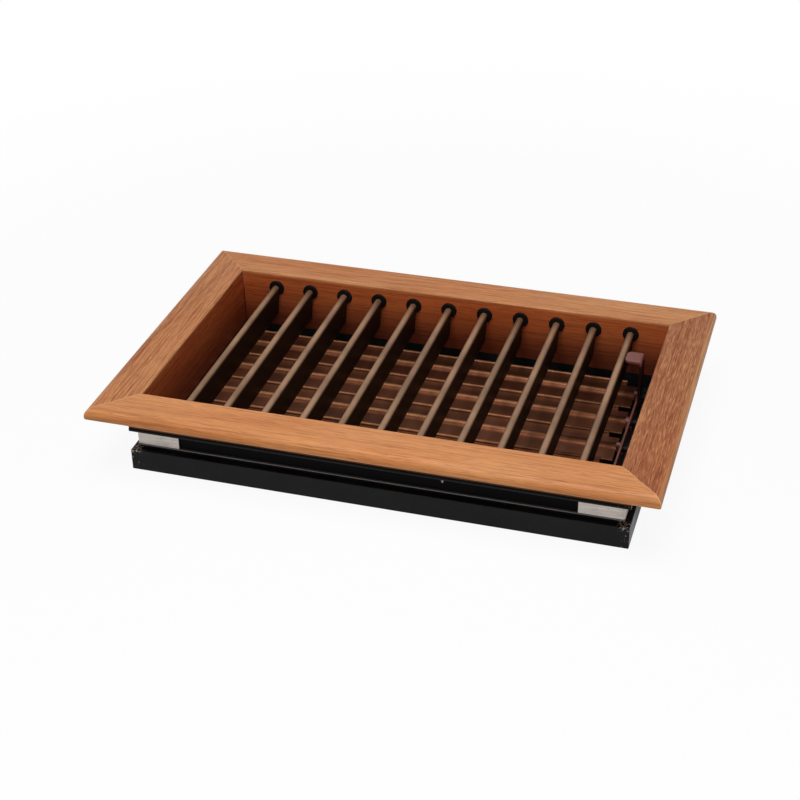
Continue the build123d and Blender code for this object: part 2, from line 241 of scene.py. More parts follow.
def rounded_outline(corners, steps=7, support=FLAT_SUPPORT):
    """A closed outline through (u, v, radius) corners, each replaced by its tangent arc.

    At a corner with directions a and b to its neighbours, the arc starts and ends
    radius / tan(half angle) away from it, and a supporting point stands a little further out on each
    side, so that the flats next to the arc keep flat shading.
    """
    points = np.array([c[:2] for c in corners], float)
    radii = [c[2] for c in corners]
    pieces = []
    for n, radius in enumerate(radii):
        corner = points[n]
        a = points[n - 1] - corner
        b = points[(n + 1) % len(points)] - corner
        a /= np.linalg.norm(a)
        b /= np.linalg.norm(b)
        half = math.acos(np.clip(a @ b, -1, 1)) / 2
        reach = radius / math.tan(half)
        middle = (a + b) / np.linalg.norm(a + b)
        centre = corner + middle * radius / math.sin(half)
        t = np.linspace(0, 1, steps)[:, None]
        first, last = corner + a * reach - centre, corner + b * reach - centre
        swing = math.pi - 2 * half
        turn = centre + (np.sin((1 - t) * swing) * first + np.sin(t * swing) * last) / math.sin(swing)
        pieces += [corner + a * (reach + support), turn, corner + b * (reach + support)]
    return np.vstack([np.atleast_2d(p) for p in pieces])


def outward_normals(outline):
    """Unit normals of a closed outline: the chord between each point's neighbours, turned a quarter."""
    after = np.roll(outline, -1, axis=0)
    chord = after - np.roll(outline, 1, axis=0)
    area = np.sum(outline[:, 0] * after[:, 1] - outline[:, 1] * after[:, 0])
    normals = np.column_stack([chord[:, 1], -chord[:, 0]]) * np.sign(area)
    return normals / np.linalg.norm(normals, axis=1, keepdims=True)


def tube_faces(rings, around, start):
    """Quads between rings of points, each ring closed, as a (count, 4) array of indices."""
    ring, place = np.meshgrid(np.arange(rings - 1), np.arange(around), indexing="ij")
    after = (place + 1) % around
    quads = np.stack([ring * around + place, ring * around + after,
                      (ring + 1) * around + after, (ring + 1) * around + place], axis=-1)
    return quads.reshape(-1, 4) + start


def face_outwards(mesh):
    """Turns every shell's faces outwards."""
    work = bmesh.new()
    work.from_mesh(mesh)
    bmesh.ops.recalc_face_normals(work, faces=work.faces)
    work.to_mesh(mesh)
    work.free()


def add_piece(name, grids, capped=True):
    """One object from grids of points shaped (rings, around, 3), each a closed tube with flat caps.

    Where capped is false, the last ring joins the first instead, so that the tube is a closed loop.
    """
    points, faces, start = [], [], 0
    for grid in grids:
        rings, around = grid.shape[:2]
        points.append(grid.reshape(-1, 3))
        faces += tube_faces(rings, around, start).tolist()
        last = start + (rings - 1) * around
        if capped:
            faces.append(list(range(start + around - 1, start - 1, -1)))
            faces.append(list(range(last, last + around)))
        else:
            place = np.arange(around)
            after = (place + 1) % around
            loop = [last + place, last + after, start + after, start + place]
            faces += np.column_stack(loop).tolist()
        start += rings * around
    mesh = bpy.data.meshes.new(name)
    mesh.from_pydata(np.vstack(points), [], faces)
    face_outwards(mesh)
    mesh.polygons.foreach_set("use_smooth", np.ones(len(mesh.polygons), bool))
    mesh.set_sharp_from_angle(angle=SMOOTH_ANGLE)
    piece = bpy.data.objects.new(name, mesh)
    bpy.context.scene.collection.objects.link(piece)
    return piece


def settle(piece, body, slot, finish, *nodes):
    """Gives a piece its finish and body, and hides the CAD nodes that it stands for. The slot is not used."""
    piece.data.materials.clear()
    piece.data.materials.append(finish)
    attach(piece, body)
    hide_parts(*nodes)


def dress(node, finish):
    """Gives a CAD node that stays in view its finish."""
    mesh = frame["nodes"][node].data
    mesh.materials.clear()
    mesh.materials.append(finish)


def times(tint, factor):
    """A colour times a factor, held at white."""
    return tuple(min(1.0, factor * c) for c in tint)


class Graph:
    """A node tree, with short calls that add nodes and link them."""

    def __init__(self, tree):
        self.tree = tree

    def node(self, kind, inputs, **settings):
        """Adds a node, sets its options and links or sets its inputs by name or number."""
        node = self.tree.nodes.new("ShaderNode" + kind)
        for key, value in settings.items():
            setattr(node, key, value)
        for key, value in inputs.items():
            self.plug(node.inputs[key], value)
        return node

    def plug(self, socket, value):
        """Links an output to a socket, or sets the socket to a plain value."""
        if isinstance(value, bpy.types.NodeSocket):
            self.tree.links.new(value, socket)
        elif hasattr(value, "__len__") and len(value) == 3 and socket.type == "RGBA":
            socket.default_value = (*value, 1.0)
        else:
            socket.default_value = value

    def calc(self, operation, a, b=0.0):
        """A sum, difference or other operation on two values."""
        return self.node("Math", {0: a, 1: b}, operation=operation).outputs[0]

    def product(self, first, *others):
        """The product of two or more values."""
        for other in others:
            first = self.calc("MULTIPLY", first, other)
        return first

    def seen(self):
        """1 for rays that show the surface itself: from the camera, off a gloss or through glass."""
        path = self.tree.nodes.new("ShaderNodeLightPath").outputs
        shown = self.calc("MAXIMUM", path["Is Camera Ray"], path["Is Glossy Ray"])
        return self.calc("MAXIMUM", shown, path["Is Transmission Ray"])


class Finish(Graph):
    """A material's node tree, with noise, ramps and colours placed by object coordinates."""

    def __init__(self, name):
        self.material = bpy.data.materials.new(name)
        self.material.use_nodes = True
        super().__init__(self.material.node_tree)
        self.shader = self.tree.nodes["Principled BSDF"]
        self.place = self.tree.nodes.new("ShaderNodeTexCoord").outputs["Object"]

    def axes(self):
        """The place's x, y and z."""
        return self.node("SeparateXYZ", {0: self.place}).outputs

    def past_opening(self):
        """How far a place lies past the opening's ends and its sides.

        These are |x| - half length and |y| - half width. They are equal along the mitres.
        """
        x, y, _ = self.axes()
        past_end = self.calc("SUBTRACT", self.calc("ABSOLUTE", x), half_length)
        past_side = self.calc("SUBTRACT", self.calc("ABSOLUTE", y), half_width)
        return past_end, past_side

    def off(self, value, middle):
        """The distance between two values, |value - middle|."""
        return self.calc("ABSOLUTE", self.calc("SUBTRACT", value, middle))

    def noise(self, scale, offset=(0, 0, 0), detail=3.0, roughness=0.55, distortion=0.0):
        """Noise from 0 to 1, with a scale for each axis or one for all, moved by an offset."""
        scales = (scale, scale, scale) if np.isscalar(scale) else scale
        mapping = self.node("Mapping", {"Vector": self.place, "Scale": scales, "Location": offset})
        inputs = {"Vector": mapping.outputs[0], "Scale": 1.0, "Detail": detail, "Roughness": roughness,
                  "Distortion": distortion}
        return self.node("TexNoise", inputs).outputs["Fac"]

    def ramp(self, value, low, high, to_low=0.0, to_high=1.0):
        """A value mapped smoothly from low..high to to_low..to_high, and held outside."""
        inputs = {"Value": value, "From Min": low, "From Max": high,
                  "To Min": to_low, "To Max": to_high}
        return self.node("MapRange", inputs, interpolation_type="SMOOTHSTEP").outputs[0]

    def mix(self, a, b, share_of_b, blend="MIX"):
        """Two colours mixed by a share."""
        node = self.node("Mix", {}, data_type="RGBA", blend_type=blend)
        for key, value in ((0, share_of_b), (6, a), (7, b)):
            self.plug(node.inputs[key], value)
        return node.outputs[2]

    def bump(self, height, distance, strength):
        """Links a height, times a distance in metres, to the shader's normal."""
        node = self.node("Bump", {"Height": height, "Distance": distance, "Strength": strength})
        self.plug(self.shader.inputs["Normal"], node.outputs[0])

    def set(self, **inputs):
        """Sets the shader's sockets, with spaces in their names written as underscores."""
        for key, value in inputs.items():
            self.plug(self.shader.inputs[key.replace("_", " ")], value)
        return self.material


def wood_finish(name, along_x, seed, tone, streak, dash):
    """Oiled wood with its grain along X or along Y.

    Stretched noise gives broad bands, streaks of late wood, short pores, fine dashes and pale flecks;
    tone is the share of dark wood, streak the strength of the bands and dash that of the dashes.
    """
    wood = bpy.context.scene.grille_wood
    finish = Finish(name)
    offset = (seed * 1.7, seed * 2.3, seed * 0.9)

    def grain(along, across, **options):
        scale = (along, across, across) if along_x else (across, along, across)
        return finish.noise(scale, offset, **options)

    bands = grain(9, 130, detail=4, roughness=0.6, distortion=0.6)
    lines = grain(24, 1150, detail=4, roughness=0.62)
    pores = grain(110, 1900, detail=2, roughness=0.5)
    dashes = grain(140, 3200, detail=2, roughness=0.55)
    flecks = grain(125, 1750, detail=1, roughness=0.5)
    broad = grain(7, 22, detail=2, roughness=0.5)

    streaks = finish.ramp(lines, 0.44, 0.66, 0.0, 0.27)
    shade = finish.calc("ADD", finish.ramp(bands, 0.35, 0.68, 0.0, streak), streaks)
    shade = finish.calc("ADD", shade, tone)
    plain = finish.mix(wood.light, wood.middle, finish.ramp(broad, 0.3, 0.7))
    body = finish.mix(plain, wood.dark, finish.ramp(shade, 0.0, 1.0, 0.0, 0.9))
    for pattern, low, high, strength, tint in (
        (lines, 0.5, 0.66, 0.13, wood.dark),
        (pores, 0.55, 0.7, 0.38, wood.dark),
        (dashes, 0.45, 0.58, 0.8 * dash, wood.dark),
        (flecks, 0.55, 0.66, 0.42 * dash, wood.light),
    ):
        body = finish.mix(body, tint, finish.ramp(pattern, low, high, 0.0, strength))
    worn = finish.mix(plain, wood.dark, finish.product(streaks, 2.0))
    body, shaded = wood_edges(finish, body, worn, along_x, tone)

    raised = finish.product(lines, 0.4)
    finish.bump(finish.calc("SUBTRACT", raised, finish.ramp(pores, 0.58, 0.74)), 0.06 * MM, 0.7)
    gloss = finish.ramp(lines, 0.3, 0.75, 0.42, 0.6)
    return finish.set(Base_Color=body, Roughness=gloss, Metallic=shaded, Specular_IOR_Level=0.27)


def wood_edges(finish, body, worn, along_x, tone):
    """The wood's colour with its edges, and the share of it that lies in deep painted shade.

    The outer rim is worn paler, the rails' outer round is darkened by painted shade, the opening's
    walls darken downwards as painted shade, the neck under the flange is painted almost black as
    shade, a broken pale line follows each mitre, and down each corner of the opening the joint's gap
    shows painted light near the top and a dark joint lower down.
    """
    height = finish.axes()[2]
    past_end, past_side = finish.past_opening()
    past_edge = finish.calc("MAXIMUM", past_end, past_side)
    off_mitre = finish.off(past_end, past_side)
    rim_start = flange_width - bpy.context.scene.grille_wood.top_round
    rim_share = min(1.0, 1.45 * tone)
    rim = finish.ramp(past_edge, rim_start + 0.6 * MM, rim_start + 3.4 * MM, 0.0, rim_share)
    body = finish.mix(body, worn, rim)
    if along_x:
        # Painted shade: the rails' outer round is multiplied darker
        round_shade = finish.product(
            finish.ramp(past_edge, rim_start, rim_start + 1 * MM),
            finish.ramp(height, face - 3 * MM, face - 0.2 * MM, 1.0, 0.0),
        )
        body = finish.mix(body, RAIL_ROUND_SHADE, round_shade, "MULTIPLY")

    inside = finish.product(
        finish.ramp(past_edge, 0.1 * MM, 0.5 * MM, 1.0, 0.0),
        finish.ramp(height, face - 2.2 * MM, face - 0.7 * MM, 1.0, 0.0),
    )
    # Painted shade: the walls of the opening are multiplied darker from the top down to the ledge
    deep = finish.ramp(height, ledge_height, face - 3 * MM, 1.0, 0.0)
    wall = finish.mix(*(RAIL_WALL_SHADE if along_x else STILE_WALL_SHADE), deep)
    body = finish.mix(body, wall, inside, "MULTIPLY")
    # Painted shade: the neck under the flange is made almost black, and Metallic is raised there to take away its
    # reflection
    under = finish.ramp(height, flange_bottom - 0.5 * MM, flange_bottom - 0.1 * MM, 0.9, 0.0)
    shaded = finish.calc("MAXIMUM", finish.calc("SUBTRACT", under, inside), 0.0)
    body = finish.mix(body, UNDER_FLANGE_SHADE, shaded)

    mitre = finish.product(
        finish.ramp(off_mitre, 0.2 * MM, 0.75 * MM, 0.7, 0.0),
        finish.ramp(finish.noise(300, detail=2), 0.35, 0.6, 0.35, 1.0),
        finish.ramp(height, face - 7 * MM, face - 1 * MM),
    )
    body = finish.mix(body, MITRE_LINE, mitre)
    # Painted light near the top of each joint's gap in the opening's corners, with a dark joint lower down
    joint = finish.product(inside, finish.ramp(off_mitre, 0.2 * MM, 0.45 * MM, 0.9, 0.0))
    joint_colour = finish.mix(JOINT_DARK, JOINT_LIGHT, finish.ramp(height, face - 11 * MM, face - 8 * MM))
    return finish.mix(body, joint_colour, joint), shaded


def coated_finish(name, tint, roughness, speckle=0.12, line_axis=None, metallic=0.0, wear=0.0,
                  gleam=0.25, shaded_below=None, peel_depth=0.3, highlight_above=None):
    """A satin coating over metal: slow clouds of tone, fine orange peel and faint drawn lines.

    The lines run along one axis. Below the height shaded_below the coating is painted almost black
    as shade, above the crest height the crests carry a painted highlight over flanks in painted shade,
    and wear is the strength of its bare specks.
    """
    finish = Finish(name)
    clouds = finish.noise(35)
    peel = finish.noise(2600, detail=2)
    drawn_scale = {None: 900, "x": (12, 1500, 1500), "y": (1500, 12, 1500)}[line_axis]
    drawn = finish.noise(drawn_scale, detail=2)
    pale = times(tint, 1.25)
    body = finish.mix(times(tint, 0.72), pale, finish.ramp(clouds, 0.3, 0.7))
    body = finish.mix(body, pale, finish.ramp(drawn, 0.45, 0.75, 0.0, 0.5))
    if shaded_below:
        height = finish.axes()[2]
        flank = finish.ramp(height, shaded_below - 0.6 * MM, shaded_below + 1.3 * MM, 0.96, 0.0)
        shade = tuple(s * c for s, c in zip(FLANK_SHADE, tint))
        body = finish.mix(body, shade, flank)
        if metallic:
            metallic = finish.product(finish.calc("SUBTRACT", 1.0, flank), metallic)
    # Painted highlight on the crests and painted shade on their flanks
    if highlight_above:
        body = crest_highlight_and_shade(finish, body, tint, highlight_above)
    body = finish.mix(body, times(tint, 0.5), finish.ramp(peel, 0.62, 0.8, 0.0, speckle))
    if wear:
        specks = finish.noise(420, detail=4, roughness=0.7)
        body = finish.mix(body, WORN_METAL, finish.ramp(specks, 0.68, 0.76, 0.0, wear))
    finish.bump(finish.calc("ADD", peel, finish.product(drawn, 0.6)), 0.004 * MM, peel_depth)
    gloss = finish.ramp(drawn, 0.3, 0.75, roughness - 0.05, roughness + 0.08)
    return finish.set(Base_Color=body, Roughness=gloss, Metallic=metallic, Specular_IOR_Level=gleam)


def crest_highlight_and_shade(finish, body, tint, foot):
    """A painted highlight on a coating above a height, with painted shade on the flanks below it.

    The highlight fades and the flank shade deepens toward the near corner at the driven end, by x - 0.6 y.
    """
    x, y, height = finish.axes()
    crest = finish.ramp(height, foot, foot + 0.5 * MM, 0.0, 0.7)
    flank = finish.ramp(height, foot - 1.05 * MM, foot + 0.35 * MM, 0.0, 0.8)
    toward_drive = finish.calc("SUBTRACT", x, finish.product(y, 0.6))
    shade_toward_drive = finish.ramp(toward_drive, 0.2 * half_length, 0.75 * half_length)
    shaded_flank = finish.product(flank, finish.calc("MAXIMUM", shade_toward_drive, 0.12))
    body = finish.mix(body, times(tint, 0.25), shaded_flank)
    crest_light = finish.product(crest, finish.calc("SUBTRACT", 1.0, shade_toward_drive))
    return finish.mix(body, CREST_HIGHLIGHT, crest_light)


def bare_metal_finish(name, tint, roughness):
    """Rolled bare metal with fine level lines, dull stains and specks of dirt."""
    finish = Finish(name)
    lines = finish.noise((40, 40, 1400))
    stains = finish.noise(160, detail=4, roughness=0.65)
    dirt = finish.noise(700, roughness=0.7)
    body = finish.mix(times(tint, 0.8), tint, finish.ramp(lines, 0.35, 0.65))
    body = finish.mix(body, times(tint, 0.62), finish.ramp(stains, 0.5, 0.75, 0.0, 0.6))
    body = finish.mix(body, DIRT, finish.ramp(dirt, 0.64, 0.74, 0.0, 0.55))
    finish.bump(finish.calc("ADD", lines, dirt), 0.02 * MM, 0.5)
    gloss = finish.ramp(stains, 0.3, 0.75, roughness - 0.06, roughness + 0.14)
    return finish.set(Base_Color=body, Roughness=gloss, Metallic=0.75)


def black_frame_finish(name):
    """Satin black coating with dust, a painted highlight along the rib, painted shade in the recesses
    and scraped specks at the corners.

    The groove over the rib and the strip under the flange are the recesses, where Metallic is raised
    to take away the reflection.
    """
    black = bpy.context.scene.grille_damper.black
    finish = Finish(name)
    clouds = finish.noise(60, detail=4)
    peel = finish.noise(2200, detail=2)
    chips = finish.noise(760, detail=4, roughness=0.75)
    dust = finish.noise(1700, detail=2)
    height = finish.axes()[2]

    near_corner = finish.calc("MINIMUM", *finish.past_opening())
    at_corner = finish.ramp(near_corner, neck_wall - 14 * MM, neck_wall - 1 * MM, 0.0, 0.14)
    # Painted highlight: a light line along the rib
    highlight_on_rib = finish.ramp(finish.off(height, rib_top - 0.4 * MM), 0.15 * MM, 0.35 * MM, 0.7, 0.0)
    at_ledge = finish.ramp(finish.off(height, ledge_height), 0.4 * MM, 2.2 * MM, 0.8, 0.0)
    chance = finish.calc("ADD", at_corner, finish.product(at_ledge, at_corner))
    scraped = finish.ramp(finish.calc("ADD", chips, chance), 0.74, 0.78)
    # Painted shade: the groove over the rib and the top of the lip under the flange are made near black, and
    # Metallic is raised there to take away the reflection
    groove_shade = finish.product(
        finish.ramp(height, rib_top, rib_top + 0.5 * MM),
        finish.ramp(height, groove_top - 0.8 * MM, groove_top, 0.85, 0.0),
    )
    lip_shade = finish.ramp(height, lip_top - 1.2 * MM, lip_top - 0.8 * MM, 0.0, 0.85)
    shade_in_recess = finish.calc("MAXIMUM", groove_shade, lip_shade)

    body = finish.mix(black, times(black, 1.9), finish.ramp(clouds, 0.3, 0.7))
    body = finish.mix(body, DUST, finish.ramp(dust, 0.68, 0.78, 0.0, 0.35))
    for tint, part in ((RECESS_SHADE, shade_in_recess), (RIB_HIGHLIGHT, highlight_on_rib), (SCRAPED_METAL, scraped)):
        body = finish.mix(body, tint, part)
    finish.bump(finish.calc("SUBTRACT", peel, scraped), 0.015 * MM, 0.5)
    gloss = finish.ramp(clouds, 0.3, 0.7, 0.36, 0.5)
    return finish.set(Base_Color=body, Roughness=gloss, Metallic=shade_in_recess, Specular_IOR_Level=0.12)


def brad_finish(name):
    """Black paint on a brad's head, with a painted glint down its middle."""
    finish = Finish(name)
    low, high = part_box("fixing_brads")
    radius = (high.z - low.z) / 2
    paint = finish.noise(1400)
    along = finish.calc("ABSOLUTE", finish.axes()[0])
    off_middle = finish.off(along, high.x - radius)
    # Painted glint: a bright line down the middle of the brad's head
    glint = finish.ramp(off_middle, 0.1 * radius, 0.5 * radius, 0.9, 0.0)
    body = finish.mix(*BRAD_PAINT, finish.ramp(paint, 0.3, 0.7))
    body = finish.mix(body, BRAD_GLINT, glint)
    gloss = finish.ramp(paint, 0.3, 0.7, 0.32, 0.5)
    return finish.set(Base_Color=body, Roughness=gloss, Specular_IOR_Level=0.2)


def member_grid(outline, run, reach, quarter_turns, bevel):
    """A mitred member.

    At share t of its length, from -1 to 1, a point (u, z) of the outline lies at
    (t * (run + u), reach + u, z). The last station at each end has the outline drawn in by the bevel,
    so a fine groove marks the mitre.
    """
    shrunk = outline - outward_normals(outline) * bevel
    stations = [(-1.0, shrunk), (-1.0, outline), (1.0, outline), (1.0, shrunk)]
    ends = (0.0, bevel, -bevel, 0.0)
    rings = []
    for (t, ring), inset in zip(stations, ends):
        x = t * (run + outline[:, 0]) + inset
        rings.append(np.column_stack([x, reach + ring[:, 0], ring[:, 1]]))
    return turned(subdivided(rings, gap=1, count=24), quarter_turns)


def subdivided(rings, gap, count):
    """The rings as a grid, with the stretch after one of them cut into equal steps."""
    grid = np.array(rings)
    t = np.linspace(0, 1, count + 1)[1:-1, None, None]
    between = grid[gap] * (1 - t) + grid[gap + 1] * t
    return np.concatenate([grid[:gap + 1], between, grid[gap + 1:]])


def turned(grid, quarter_turns):
    """The grid turned about Z by quarter turns."""
    turn = quarter_turns * math.pi / 2
    cosine, sine = np.round([math.cos(turn), math.sin(turn)])
    x, y, z = np.moveaxis(grid, -1, 0)
    return np.stack([cosine * x - sine * y, sine * x + cosine * y, z], axis=-1)


class GRILLE_OT_wooden_face(bpy.types.Operator):
    """Builds the four mitred wooden members"""

    bl_idname = "grille.wooden_face"
    bl_label = "Wooden face"

    def execute(self, context):
        wood = context.scene.grille_wood
        small = wood.small_round
        tongue = wood.tongue_thickness
        outline = rounded_outline([
            (0, tongue_foot, small),
            (tongue, tongue_foot, small),
            (tongue, lip_top, small),
            (neck_wall, lip_top, small),
            (neck_wall, flange_bottom, small),
            (flange_width, flange_bottom, wood.bottom_round),
            (flange_width, face, wood.top_round),
            (0, face, wood.opening_round),
        ])
        along_end, along_side = (half_length, half_width), (half_width, half_length)
        # Node, its run and reach, quarter turns, and the grain's seed, tone, streak and dash
        members = (
            ("rear_rail", along_end, 0, 3.0, 0.28, 0.08, 0.22),
            ("left_stile", along_side, 1, 11.0, 0.30, 0.2, 0.5),
            ("front_rail", along_end, 2, 7.0, 0.06, 0.16, 0.2),
            ("right_stile", along_side, 3, 17.0, 0.58, 0.10, 0.9),
        )
        for node, (run, reach), turns, *grain in members:
            grid = member_grid(outline, run, reach, turns, wood.mitre_bevel)
            piece = add_piece(f"{node}_wood", [grid])
            finish = wood_finish(f"{node}_grain", turns % 2 == 0, *grain)
            settle(piece, "frame", "wood", finish, node)
        return {"FINISHED"}


class GRILLE_OT_louvres(bpy.types.Operator):
    """Builds the louvres and finishes their pins"""

    bl_idname = "grille.louvres"
    bl_label = "Louvres"

    def execute(self, context):
        sizes = context.scene.grille_louvre
        nose_edge = louvre_joints[0]["pos_m"][2] + NOSE_SHADE
        coating = coated_finish("louvre_coating", tuple(sizes.coating), 0.42, line_axis="y",
                                metallic=0.65, gleam=0.02, shaded_below=nose_edge)
        pin = bare_metal_finish("pin_steel", PIN_STEEL, 0.3)
        for joint in louvre_joints:
            node = joint["child"]
            piece = add_piece(f"{node}_blade", [self.grid(sizes, joint["pos_m"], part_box(node))])
            settle(piece, node, "louvre", coating, node)
            dress(f"{node}_pivots", pin)
        return {"FINISHED"}

    @staticmethod
    def grid(sizes, pivot, box):
        """The hull of the nose and tail circles, carried along Y, with its ends drawn in by the bevel.

        The straight flanks are tangent to both circles, so both arcs end where the normal dips below
        level by the angle whose sine is (nose radius - tail radius) / (distance between the centres).
        """
        nose_radius, tail_radius, bevel = sizes.nose_radius, sizes.tail_radius, sizes.end_bevel
        tail_height = box[0].z + tail_radius
        dip = math.degrees(math.asin((nose_radius - tail_radius) / (pivot[2] - tail_height)))
        nose = arc((pivot[0], pivot[2]), nose_radius, -dip, 180 + dip, count=33)
        tail = arc((pivot[0], tail_height), tail_radius, 180 + dip, 360 - dip, count=13)
        outline = np.vstack([nose, tail])
        shrunk = outline - outward_normals(outline) * bevel
        near, far = box[0].y, box[1].y
        stations = ((near, shrunk), (near + bevel, outline), (far - bevel, outline), (far, shrunk))
        rings = []
        for y, ring in stations:
            rings.append(np.column_stack([ring[:, 0], np.full(len(ring), y), ring[:, 1]]))
        return subdivided(rings, gap=1, count=16)


class GRILLE_OT_pivot_bushes(bpy.types.Operator):
    """Builds the black flanged bushes in the two rails"""

    bl_idname = "grille.pivot_bushes"
    bl_label = "Pivot bushes"

    def execute(self, context):
        sizes = context.scene.grille_louvre
        plastic = coated_finish("bush_black", BUSH_BLACK, 0.5, speckle=0.3, gleam=0.08)
        for node, side in (("front_pivot_bushes", -1), ("rear_pivot_bushes", 1)):
            low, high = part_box(node)
            depth = high.y - low.y
            radius = (high.z - low.z) / 2
            grids = [self.grid(sizes, joint["pos_m"], side, depth, radius) for joint in louvre_joints]
            piece = add_piece(f"{node}_ring", grids, capped=False)
            settle(piece, "frame", "black_bush", plastic, node)
        return {"FINISHED"}

    @staticmethod
    def grid(sizes, pivot, side, depth, flange_radius):
        """A turned ring: an outline of (radius, depth from the flange's face) spun about the pivot."""
        outline = rounded_outline([
            (sizes.bush_bore, 0, BUSH_EDGE),
            (flange_radius, 0, sizes.bush_round),
            (flange_radius, sizes.bush_flange, BUSH_FILLET),
            (sizes.bush_barrel, sizes.bush_flange, BUSH_FILLET),
            (sizes.bush_barrel, depth, BUSH_EDGE),
            (sizes.bush_bore, depth, BUSH_FILLET),
        ], steps=4, support=FINE_SUPPORT)
        turn = np.linspace(0, 2 * math.pi, BUSH_SIDES, endpoint=False)[:, None]
        x = pivot[0] + outline[:, 0] * np.cos(turn)
        z = pivot[2] + outline[:, 0] * np.sin(turn)
        y = side * (half_width - sizes.bush_flange + outline[:, 1]) + 0 * turn
        return np.stack([x, y, z], axis=-1)


class GRILLE_OT_damper_blades(bpy.types.Operator):
    """Builds the damper blades"""

    bl_idname = "grille.damper_blades"
    bl_label = "Damper blades"

    def execute(self, context):
        sizes = context.scene.grille_damper
        crest = blade_joints[0]["pos_m"][2] + sizes.hub_radius - CREST_DROP
        # The blades' crests get a painted highlight, and their flanks painted shade
        coating = coated_finish("blade_coating", tuple(sizes.blade), 0.48, line_axis="x", metallic=0.9,
                                gleam=0.05, peel_depth=0.05, highlight_above=crest)
        for joint in blade_joints:
            node = joint["child"]
            piece = add_piece(f"{node}_leaf", [self.grid(sizes, joint["pos_m"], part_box(node))])
            settle(piece, node, "damper_blade", coating, node)
        return {"FINISHED"}

    @staticmethod
    def grid(sizes, axis, box):
        """A section of bead, web, blends, hub and plain near edge, carried along X.

        Beyond the curl's start c a point of the web is lifted by R - sqrt(R^2 - (u - c)^2), an arc of
        radius R that leaves the web level and meets the bead. Over the notch the part of the section
        beyond the notch is folded back onto its edge.
        """
        bead, hub, blend = sizes.bead_radius, sizes.hub_radius, sizes.hub_blend
        web = sizes.web_thickness / 2
        reach = (box[1].y - box[0].y) / 2
        near_run = reach - web
        curl_start = reach - bead - sizes.curl_run
        curl_radius = (sizes.curl_run ** 2 + sizes.curl ** 2) / (2 * sizes.curl)

        def lift(u):
            past_start = np.clip(u - curl_start, 0, sizes.curl_run)
            return curl_radius - np.sqrt(curl_radius ** 2 - past_start ** 2)

        meet = math.degrees(math.asin(web / bead))
        slope = math.degrees(math.asin(sizes.curl_run / curl_radius))
        bead_centre = (reach - bead, sizes.curl)
        bead_arc = arc(bead_centre, bead, slope + meet - 180, slope + 180 - meet, count=17)
        rise = web + blend
        run = math.sqrt((hub + blend) ** 2 - rise ** 2)
        lean = math.degrees(math.atan2(rise, run))
        blend_arc = arc((run, rise), blend, 270, 180 + lean, count=11)
        hub_arc = arc((0, 0), hub, lean, 180 - lean, count=21)
        foot = run + WEB_GAP
        far_web = level(reach - 2.1 * bead, foot, web, count=14)
        near_web = level(-foot, -near_run, web, count=4)
        top = np.vstack([far_web, blend_arc, hub_arc[1:-1], blend_arc[::-1] * (-1, 1), near_web])
        near_edge = arc((-near_run, 0), web, 90, 270, count=9)[1:-1]
        rest = np.vstack([top, near_edge, top[::-1] * (1, -1)])
        rest[:, 1] += lift(rest[:, 0])
        outline = np.vstack([bead_arc, rest])

        notch_edge = reach - sizes.notch_depth
        edge_height = lift(notch_edge)
        beyond = outline[:, 0] > notch_edge
        notched = outline.copy()
        notched[beyond, 0] = notch_edge
        notched[beyond, 1] = np.clip(outline[beyond, 1], edge_height - web, edge_height + web)
        start, end = box[0].x, box[1].x
        step = end - sizes.notch_length
        rings = []
        for x, ring in ((start, outline), (step, outline), (step, notched), (end, notched)):
            y, z = axis[1] + ring[:, 0], axis[2] + ring[:, 1]
            rings.append(np.column_stack([np.full(len(ring), x), y, z]))
        return subdivided(rings, gap=0, count=20)


class GRILLE_OT_corner_brackets(bpy.types.Operator):
    """Builds the bent corner brackets in the damper frame's groove"""

    bl_idname = "grille.corner_brackets"
    bl_label = "Corner brackets"

    def execute(self, context):
        sizes = context.scene.grille_damper
        metal = bare_metal_finish("bracket_aluminium", tuple(sizes.bare), 0.38)
        for row in ("front", "rear"):
            for end in ("left", "right"):
                node = f"corner_bracket_{row}_{end}"
                piece = add_piece(f"{node}_strip", [self.grid(sizes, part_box(node), row, end)])
                settle(piece, "frame", "corner_bracket", metal, node)
        return {"FINISHED"}

    @staticmethod
    def grid(sizes, box, row, end):
        """A flat strip's section carried along one leg, round the bend and along the other leg.

        A point at depth d inside the strip and height z lies d inwards from the outer line of the bend.
        """
        side_x, side_y = (1 if end == "right" else -1), (1 if row == "rear" else -1)
        outer = (box[1].x if side_x > 0 else box[0].x, box[1].y if side_y > 0 else box[0].y)
        leg_x, leg_y = box[1].x - box[0].x, box[1].y - box[0].y
        thick, radius = sizes.bracket_thickness, sizes.bracket_bend + sizes.bracket_thickness
        section = rounded_outline([
            (0, box[0].z, sizes.bracket_round),
            (thick, box[0].z, sizes.bracket_round),
            (thick, box[1].z, sizes.bracket_round),
            (0, box[1].z, sizes.bracket_round),
        ], steps=3, support=FINE_SUPPORT)
        steps = 9
        turn = np.linspace(0, math.pi / 2, steps)
        along_x = np.linspace(leg_x, radius, steps + 1)[:-1]
        along_y = np.linspace(radius, leg_y, steps + 1)[1:]
        none, full = np.zeros(steps), np.ones(steps)
        back_x = np.concatenate([along_x, radius - radius * np.sin(turn), none])
        back_y = np.concatenate([none, radius - radius * np.cos(turn), along_y])
        in_x = np.concatenate([none, np.sin(turn), full])
        in_y = np.concatenate([full, np.cos(turn), none])
        x = outer[0] - side_x * (back_x[:, None] + in_x[:, None] * section[:, 0])
        y = outer[1] - side_y * (back_y[:, None] + in_y[:, None] * section[:, 0])
        z = section[:, 1] + 0 * x
        return np.stack([x, y, z], axis=-1)


class GRILLE_OT_damper_frame(bpy.types.Operator):
    """Finishes the black damper frame and its brads"""

    bl_idname = "grille.damper_frame"
    bl_label = "Damper frame"

    def execute(self, context):
        black = black_frame_finish("frame_black")
        for side in ("front", "rear", "left", "right"):
            dress(f"damper_frame_{side}", black)
        dress("fixing_brads", brad_finish("brad_paint"))
        return {"FINISHED"}


